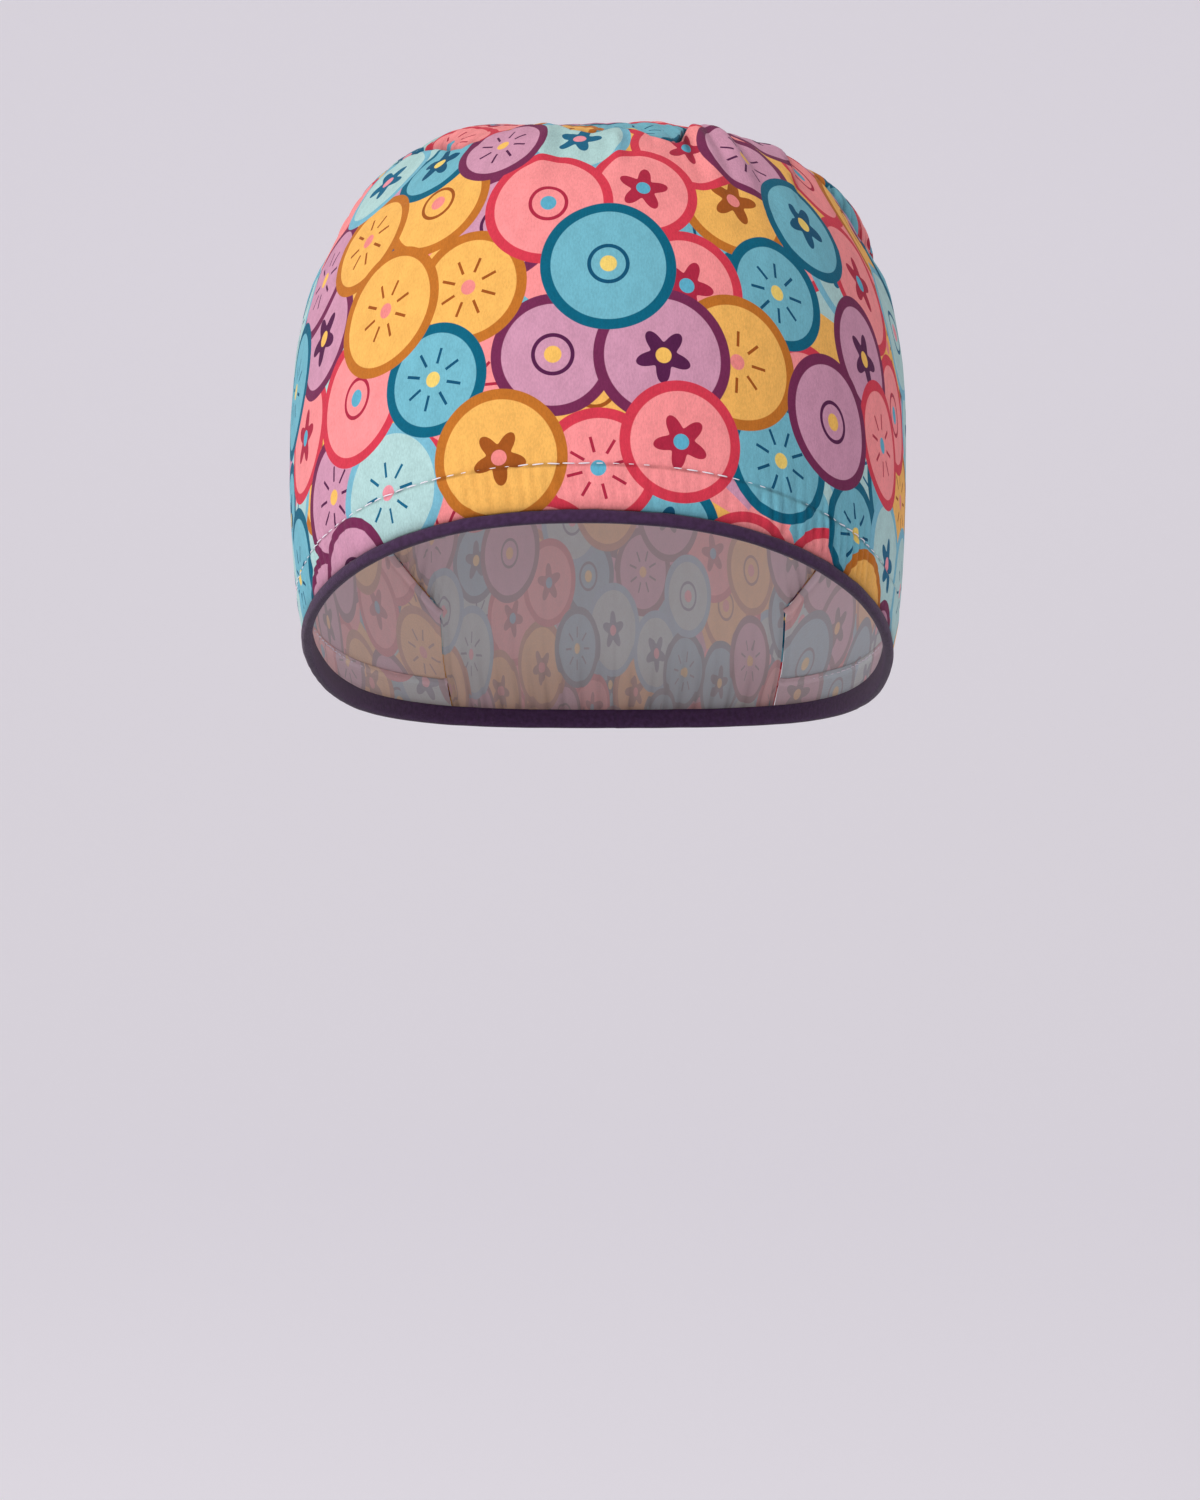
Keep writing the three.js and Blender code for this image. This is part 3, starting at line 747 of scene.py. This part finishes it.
def stitch_path(meridians, top, height, inward):
    """Points and normals along the panel at one height over the rim, moved inward from its face."""
    azimuths = meridians.azimuths
    heights = np.full((1, len(azimuths)), height)
    rises = meridians.rise_at(heights)[0]
    place = place_along(azimuths, 0.07 + 0 * azimuths)
    relief = panel_relief(azimuths, heights[0], top, place) + 0.2 - inward
    normals = cap_normal(azimuths, rises)
    return cap_point(azimuths, rises) + normals * relief[:, None], normals


# Materials

# Dark tone multiplied into the cloth's colour for the painted shade in its hollows
PAINTED_SHADE_TONE = (0.3, 0.27, 0.28, 1.0)


class Shader:
    """A node material, with short forms for its maths."""

    def __init__(self, name, roughness):
        self.material = bpy.data.materials.new(name)
        self.material.use_nodes = True
        self.tree = self.material.node_tree
        self.surface = self.tree.nodes["Principled BSDF"]
        self.surface.inputs["Roughness"].default_value = roughness
        self.surface.inputs["Specular IOR Level"].default_value = 0.12

    def node(self, kind, *inputs, **settings):
        made = self.tree.nodes.new(kind)
        for name, value in settings.items():
            setattr(made, name, value)
        for n, value in enumerate(inputs):
            self.put(made.inputs[n], value)
        return made

    def put(self, socket, value):
        if value is None:
            return
        if hasattr(value, "is_output"):
            self.tree.links.new(value, socket)
        else:
            socket.default_value = value

    def sum(self, operation, *values):
        return self.node("ShaderNodeMath", *values, operation=operation).outputs[0]

    def vector(self, operation, *values):
        made = self.node("ShaderNodeVectorMath", *values, operation=operation)
        return made.outputs["Value" if operation in ("LENGTH", "DISTANCE", "DOT_PRODUCT") else "Vector"]

    def smooth(self, value, low, high):
        made = self.node("ShaderNodeMapRange", value, low, high, 0.0, 1.0)
        made.interpolation_type = "SMOOTHSTEP"
        return made.outputs[0]

    def mix(self, share, first, second, blend="MIX"):
        made = self.node("ShaderNodeMix", data_type="RGBA", blend_type=blend)
        self.put(made.inputs["Factor"], share)
        self.put(made.inputs[6], first)
        self.put(made.inputs[7], second)
        return made.outputs[2]

    def steps(self, value, colours):
        """One of several colours, by a value from 0 to 1."""
        made = self.node("ShaderNodeValToRGB", value)
        made.color_ramp.interpolation = "CONSTANT"
        points = made.color_ramp.elements
        while len(points) > 1:
            points.remove(points[-1])
        points[0].position, points[0].color = 0.0, colours[0]
        for n in range(1, len(colours)):
            points.new(n / len(colours)).color = colours[n]
        return made.outputs["Color"]

    def cloth_place(self):
        """Place on the flat cloth in millimetres."""
        uv = self.node("ShaderNodeUVMap", uv_map="cloth_metres").outputs["UV"]
        return self.vector("MULTIPLY", uv, (1000.0, 1000.0, 1000.0))

    def noise(self, place, size, detail=2.0, rough=0.5):
        scaled = self.vector("MULTIPLY", place, size)
        made = self.node("ShaderNodeTexNoise", scaled)
        made.inputs["Scale"].default_value = 1.0
        made.inputs["Detail"].default_value = detail
        made.inputs["Roughness"].default_value = rough
        return made.outputs[0]

    def with_painted_shade(self, colour):
        """The colour, with painted shade in the cloth's narrow hollows, darker by the hollow_shade
        attribute.
        """
        shade = self.node("ShaderNodeAttribute", attribute_name="hollow_shade").outputs["Fac"]
        return self.mix(shade, colour, self.mix(1.0, colour, PAINTED_SHADE_TONE, "MULTIPLY"))

    def bump(self, height, strength, distance_mm, before=None):
        made = self.node("ShaderNodeBump")
        made.inputs["Strength"].default_value = strength
        made.inputs["Distance"].default_value = distance_mm * MM
        self.put(made.inputs["Height"], height)
        if before is not None:
            self.put(made.inputs["Normal"], before)
        return made.outputs["Normal"]


def tint(code):
    """Linear colour of a screen colour written as six hex digits."""
    parts = [int(code[n : n + 2], 16) / 255 for n in (0, 2, 4)]
    linear = [p / 12.92 if p <= 0.04045 else ((p + 0.055) / 1.055) ** 2.4 for p in parts]
    return (*linear, 1.0)


# Disc and rim colours of the print, in pairs, with the colours of the motifs on them
DISCS = [tint(c) for c in ("74bbcd", "f9bd62", "b4d9d8", "fe989a", "d39ab5")]
RIMS = [tint(c) for c in ("006581", "c37428", "7abcd2", "d93b50", "772b55")]
MARKS = [tint(c) for c in ("0b5577", "a3561d", "12678a", "b32845", "571f4c")]
ACCENTS = [tint(c) for c in ("f6d774", "f58f8c", "f39aa8", "5fb3cf", "fbc664")]
# Size on the cloth of one millimetre of the design
PRINT_SIZE = 0.86
LATTICE_ACROSS = 58.0
LATTICE_UP = 50.0
# Free play of a disc's middle in its cell, its least radius, the spread of radii and its rim, in the design
DISC_PLAY = 11.0
DISC_RADIUS = 15.2
RADIUS_SPREAD = 3.6
RIM_WIDTH = 2.7
# Share of the discs whose colour is left to chance, and of those that come up over later layers
FREE_COLOURS = 0.3
RAISED_SHARE = 0.5
# Shift of each layer's lattice and the seed of its colours, the lowest layers first
DISC_LAYERS = (((14.5, 8.3), 5.0), ((43.5, 8.3), 6.0), ((0.0, 0.0), 1.0), ((29.0, 0.0), 2.0),
               ((14.5, 25.0), 3.0), ((43.5, 25.0), 4.0))


def disc_layer(shader, place, shift, seed):
    """One layer of rimmed discs with a small motif each: where they are, their colour and a chance each."""
    moved = shader.vector("ADD", place, (shift[0] + 5000.0, shift[1] + 5000.0, 0.0))
    split = shader.node("ShaderNodeSeparateXYZ", moved)
    row = shader.sum("FLOOR", shader.sum("DIVIDE", split.outputs["Y"], LATTICE_UP))
    odd = shader.sum("MODULO", row, 2.0)
    across = shader.sum("MULTIPLY_ADD", odd, LATTICE_ACROSS / 2, split.outputs["X"])
    column = shader.sum("FLOOR", shader.sum("DIVIDE", across, LATTICE_ACROSS))
    cell = shader.node("ShaderNodeCombineXYZ", column, row, seed).outputs[0]
    chance = shader.node("ShaderNodeTexWhiteNoise", cell, noise_dimensions="3D")
    cell_2 = shader.vector("ADD", cell, (17.3, 5.1, 31.7))
    chance_2 = shader.node("ShaderNodeTexWhiteNoise", cell_2, noise_dimensions="3D")
    one = shader.node("ShaderNodeSeparateColor", chance.outputs["Color"]).outputs
    two = shader.node("ShaderNodeSeparateColor", chance_2.outputs["Color"]).outputs
    x = shader.sum("SUBTRACT", across, shader.sum("MULTIPLY", column, LATTICE_ACROSS))
    y = shader.sum("SUBTRACT", split.outputs["Y"], shader.sum("MULTIPLY", row, LATTICE_UP))
    nearest = (LATTICE_ACROSS - DISC_PLAY) / 2
    lowest = (LATTICE_UP - DISC_PLAY) / 2
    x = shader.sum("SUBTRACT", x, shader.sum("MULTIPLY_ADD", one[0], DISC_PLAY, nearest))
    y = shader.sum("SUBTRACT", y, shader.sum("MULTIPLY_ADD", one[1], DISC_PLAY, lowest))
    r = shader.sum("SQRT", shader.sum("ADD", shader.sum("MULTIPLY", x, x), shader.sum("MULTIPLY", y, y)))
    radius = shader.sum("MULTIPLY_ADD", one[2], RADIUS_SPREAD, DISC_RADIUS)
    inside = shader.sum("SUBTRACT", radius, r)
    on_disc = shader.smooth(inside, -0.1, 0.1)
    on_face = shader.smooth(inside, RIM_WIDTH, RIM_WIDTH + 0.25)
    count = shader.sum("MULTIPLY_ADD", column, 2.0, shader.sum("MULTIPLY_ADD", row, 4.0, seed))
    regular = shader.sum("DIVIDE", shader.sum("MODULO", count, 5.0), 5.0)
    free = shader.sum("GREATER_THAN", chance_2.outputs["Value"], 1 - FREE_COLOURS)
    pick = shader.sum("MULTIPLY_ADD", shader.sum("SUBTRACT", chance.outputs["Value"], regular), free,
                      shader.sum("ADD", regular, 0.05))
    turn = shader.sum("MULTIPLY_ADD", two[0], 2 * math.pi, shader.sum("ARCTAN2", y, x))

    # Blossom
    petals = shader.sum("COSINE", shader.sum("MULTIPLY", turn, 5.0))
    petal_edge = shader.sum("MULTIPLY_ADD", petals, 1.9, 5.6)
    blossom = shader.smooth(shader.sum("SUBTRACT", petal_edge, r), -0.1, 0.12)
    heart = shader.smooth(shader.sum("SUBTRACT", 2.1, r), -0.1, 0.1)
    # Ring of short strokes
    strokes = shader.sum("ABSOLUTE", shader.sum("SINE", shader.sum("MULTIPLY", turn, 4.0)))
    thin = shader.smooth(shader.sum("MULTIPLY", strokes, r), 1.7, 1.5)
    band = shader.smooth(shader.sum("ABSOLUTE", shader.sum("SUBTRACT", r, 6.4)), 2.2, 2.0)
    rays = shader.sum("MULTIPLY", thin, band)
    # Two thin rings
    loop = shader.smooth(shader.sum("ABSOLUTE", shader.sum("SUBTRACT", r, 5.2)), 0.6, 0.45)
    spot = shader.smooth(shader.sum("SUBTRACT", 2.3, r), -0.1, 0.1)

    is_blossom = shader.sum("LESS_THAN", two[1], 0.36)
    is_rays = shader.sum("GREATER_THAN", two[1], 0.68)
    is_loop = shader.sum("SUBTRACT", shader.sum("SUBTRACT", 1.0, is_blossom), is_rays)
    mark = shader.sum("MULTIPLY", blossom, is_blossom)
    mark = shader.sum("MULTIPLY_ADD", rays, is_rays, mark)
    mark = shader.sum("MULTIPLY_ADD", loop, is_loop, mark)
    dot = shader.sum("MULTIPLY", heart, shader.sum("ADD", is_blossom, is_rays))
    dot = shader.sum("MULTIPLY_ADD", spot, is_loop, dot)

    face = shader.mix(mark, shader.steps(pick, DISCS), shader.steps(pick, MARKS))
    face = shader.mix(dot, face, shader.steps(pick, ACCENTS))
    disc = shader.mix(on_face, shader.steps(pick, RIMS), face)
    return on_disc, disc, two[2]


def printed_cotton(name, wrong_side):
    shader = Shader(name, 0.82)
    place = shader.cloth_place()
    design = shader.vector("MULTIPLY", place, (1 / PRINT_SIZE, 1 / PRINT_SIZE, 0.0))
    cells = shader.node("ShaderNodeTexVoronoi", shader.vector("MULTIPLY", design, (0.045, 0.045, 0.0)))
    cells.inputs["Scale"].default_value = 1.0
    pick = shader.node("ShaderNodeSeparateColor", cells.outputs["Color"]).outputs[0]
    colour = shader.steps(pick, DISCS)
    layers = [disc_layer(shader, design, shift, seed) for shift, seed in DISC_LAYERS]
    for where, disc, chance in layers:
        colour = shader.mix(where, colour, disc)
    # About half of the discs of each lower layer come up again over the others
    for where, disc, chance in layers[2:5]:
        raised = shader.sum("MULTIPLY", where, shader.sum("GREATER_THAN", chance, 1 - RAISED_SHARE))
        colour = shader.mix(raised, colour, disc)
    grain = shader.noise(place, (2.6, 1.0, 1.0), 3.0, 0.7)
    wear = shader.noise(place, (0.28, 0.16, 1.0), 3.0, 0.6)
    mottle = shader.sum("MULTIPLY_ADD", wear, 0.45, shader.sum("MULTIPLY", grain, 0.75))
    shade = shader.smooth(mottle, 0.42, 0.78)
    dark, light = (0.86, 0.86, 0.86, 1.0), (1.06, 1.06, 1.06, 1.0)
    colour = shader.mix(1.0, colour, shader.mix(shade, dark, light), "MULTIPLY")
    if wrong_side:
        colour = shader.mix(0.62, colour, tint("ece6e4"))
    # Base colour, with painted shade in the narrow hollows
    shader.put(shader.surface.inputs["Base Color"], shader.with_painted_shade(colour))
    cloth_weave(shader, place, 0.42, 0.3)
    shader.surface.inputs["Sheen Weight"].default_value = 0.05
    shader.surface.inputs["Sheen Roughness"].default_value = 0.5
    return shader.material


def cloth_weave(shader, place, pitch, strength):
    """Plain weave of fine yarns, with slight slubs along each yarn."""
    split = shader.node("ShaderNodeSeparateXYZ", place)
    waves = []
    for axis in ("X", "Y"):
        angle = shader.sum("MULTIPLY", split.outputs[axis], 2 * math.pi / pitch)
        waves.append(shader.sum("SINE", angle))
    weave = shader.sum("MULTIPLY", waves[0], waves[1])
    slubs = shader.noise(place, (2.2, 0.5, 1.0), 2.0)
    slubs_2 = shader.noise(place, (0.5, 2.2, 1.0), 2.0)
    uneven = shader.sum("ADD", slubs, slubs_2)
    normal = shader.bump(uneven, 0.35, 0.25)
    normal = shader.bump(weave, strength, 0.06, normal)
    shader.put(shader.surface.inputs["Normal"], normal)


def plain_cotton(name, code, lighter, pitch):
    shader = Shader(name, 0.85)
    place = shader.cloth_place()
    mottle = shader.noise(place, (0.7, 0.7, 1.0), 3.0, 0.6)
    colour = shader.mix(shader.smooth(mottle, 0.25, 0.75), tint(code), tint(lighter))
    # Base colour, with painted shade at the binding's edges
    shader.put(shader.surface.inputs["Base Color"], shader.with_painted_shade(colour))
    cloth_weave(shader, place, pitch, 0.5)
    shader.surface.inputs["Sheen Weight"].default_value = 0.15
    shader.surface.inputs["Sheen Roughness"].default_value = 0.5
    return shader.material


def thread(name, code):
    shader = Shader(name, 0.6)
    shader.surface.inputs["Base Color"].default_value = tint(code)
    shader.surface.inputs["Sheen Weight"].default_value = 0.2
    return shader.material


def outward(obj):
    """Turns a closed mesh's faces outward."""
    mesh = bmesh.new()
    mesh.from_mesh(obj.data)
    bmesh.ops.recalc_face_normals(mesh, faces=mesh.faces)
    mesh.to_mesh(obj.data)
    mesh.free()


# Build

printed = printed_cotton("printed_cotton", False)
wrong_side = printed_cotton("printed_cotton_wrong_side", True)
binding_cotton = plain_cotton("binding_cotton", "39233f", "482f51", 0.5)
stitch_thread = thread("stitch_thread", "efeaf3")

panel_meridians = Meridians(np.linspace(-PANEL_END, PANEL_END, PANEL_COLUMNS))
panel_top = panel_meridians.length_at(seam_rise(panel_meridians.azimuths))
panel, panel_points, panel_normals = front_panel(panel_meridians, panel_top)
hem = panel_hem(panel_meridians, panel_top)
crown = crown_panel()
binding = edge_binding()
stitches = []
for name, inward, side in (("topstitching", 0.0, 1), ("topstitching_inside", 2 * CLOTH + 0.4, -1)):
    points, normals = stitch_path(panel_meridians, panel_top, STITCH_LINE, inward)
    row = stitch_row(name, panel_meridians.azimuths, points, normals, side)
    row.data.materials.append(stitch_thread)
    outward(row)
    stitches.append(row)

for obj in (panel, hem, crown):
    obj.data.materials.append(printed)
    obj.data.materials.append(wrong_side)
    thicken(obj, CLOTH, 1)
binding.data.materials.append(binding_cotton)
thicken(binding, BINDING_CLOTH, 0)

for obj in (panel, hem, crown, binding, *stitches):
    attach(obj, "root")
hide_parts("front_panel")
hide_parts("crown_panel")
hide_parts("edge_binding")


# Stage, lights and camera

FLOOR_DROP = -0.45


def backdrop():
    """A pale floor that curves up into a backdrop far behind."""
    profile = [(-6.0, 0.0), (1.6, 0.0)]
    for turn in np.linspace(0.1, math.pi / 2, 16):
        profile.append((1.6 + 1.2 * math.sin(turn), 1.2 - 1.2 * math.cos(turn)))
    profile += [(2.8, 5.0)]
    points = [(x, y, z) for y, z in profile for x in (-5.0, 5.0)]
    faces = [(2 * n, 2 * n + 1, 2 * n + 3, 2 * n + 2) for n in range(len(profile) - 1)]
    obj = mesh_object("floor", np.array(points) / MM, faces)
    obj.location.z = FLOOR_DROP
    paper = Shader("floor_paper", 0.95)
    paper.surface.inputs["Base Color"].default_value = tint("dbdbe2")
    paper.surface.inputs["Emission Color"].default_value = tint("d9d4dc")
    paper.surface.inputs["Emission Strength"].default_value = 0.3
    obj.data.materials.append(paper.material)


def area_light(name, place, target, size, power, colour):
    data = bpy.data.lights.new(name, "AREA")
    data.shape, data.size, data.energy, data.color = "DISK", size, power, colour
    obj = bpy.data.objects.new(name, data)
    obj.location = place
    direction = Vector(target) - Vector(place)
    obj.rotation_euler = direction.to_track_quat("-Z", "Y").to_euler()
    bpy.context.scene.collection.objects.link(obj)


backdrop()
area_light("key_light", (-1.0, -1.36, 0.78), (0, 0, 0.08), 0.5, 16.4, (1.0, 0.985, 0.96))
world = bpy.data.worlds.new("soft_room")
world.use_nodes = True
world.node_tree.nodes["Background"].inputs["Color"].default_value = tint("dcd6d5")
world.node_tree.nodes["Background"].inputs["Strength"].default_value = 0.775
bpy.context.scene.world = world
bpy.context.scene.view_settings.view_transform = "Standard"

CAMERA_DISTANCE = 0.6
CAMERA_TURN = 0.045
CAMERA_HEIGHT = -0.020
camera_data = bpy.data.cameras.new("camera")
camera_data.lens = 52.56
camera_data.sensor_width = 36.0
camera_data.dof.use_dof = False
camera = bpy.data.objects.new("camera", camera_data)
camera.location = (CAMERA_DISTANCE * math.sin(CAMERA_TURN), -CAMERA_DISTANCE * math.cos(CAMERA_TURN),
                   CAMERA_HEIGHT)
camera.rotation_euler = (math.pi / 2, 0, CAMERA_TURN)
bpy.context.scene.collection.objects.link(camera)
bpy.context.scene.camera = camera
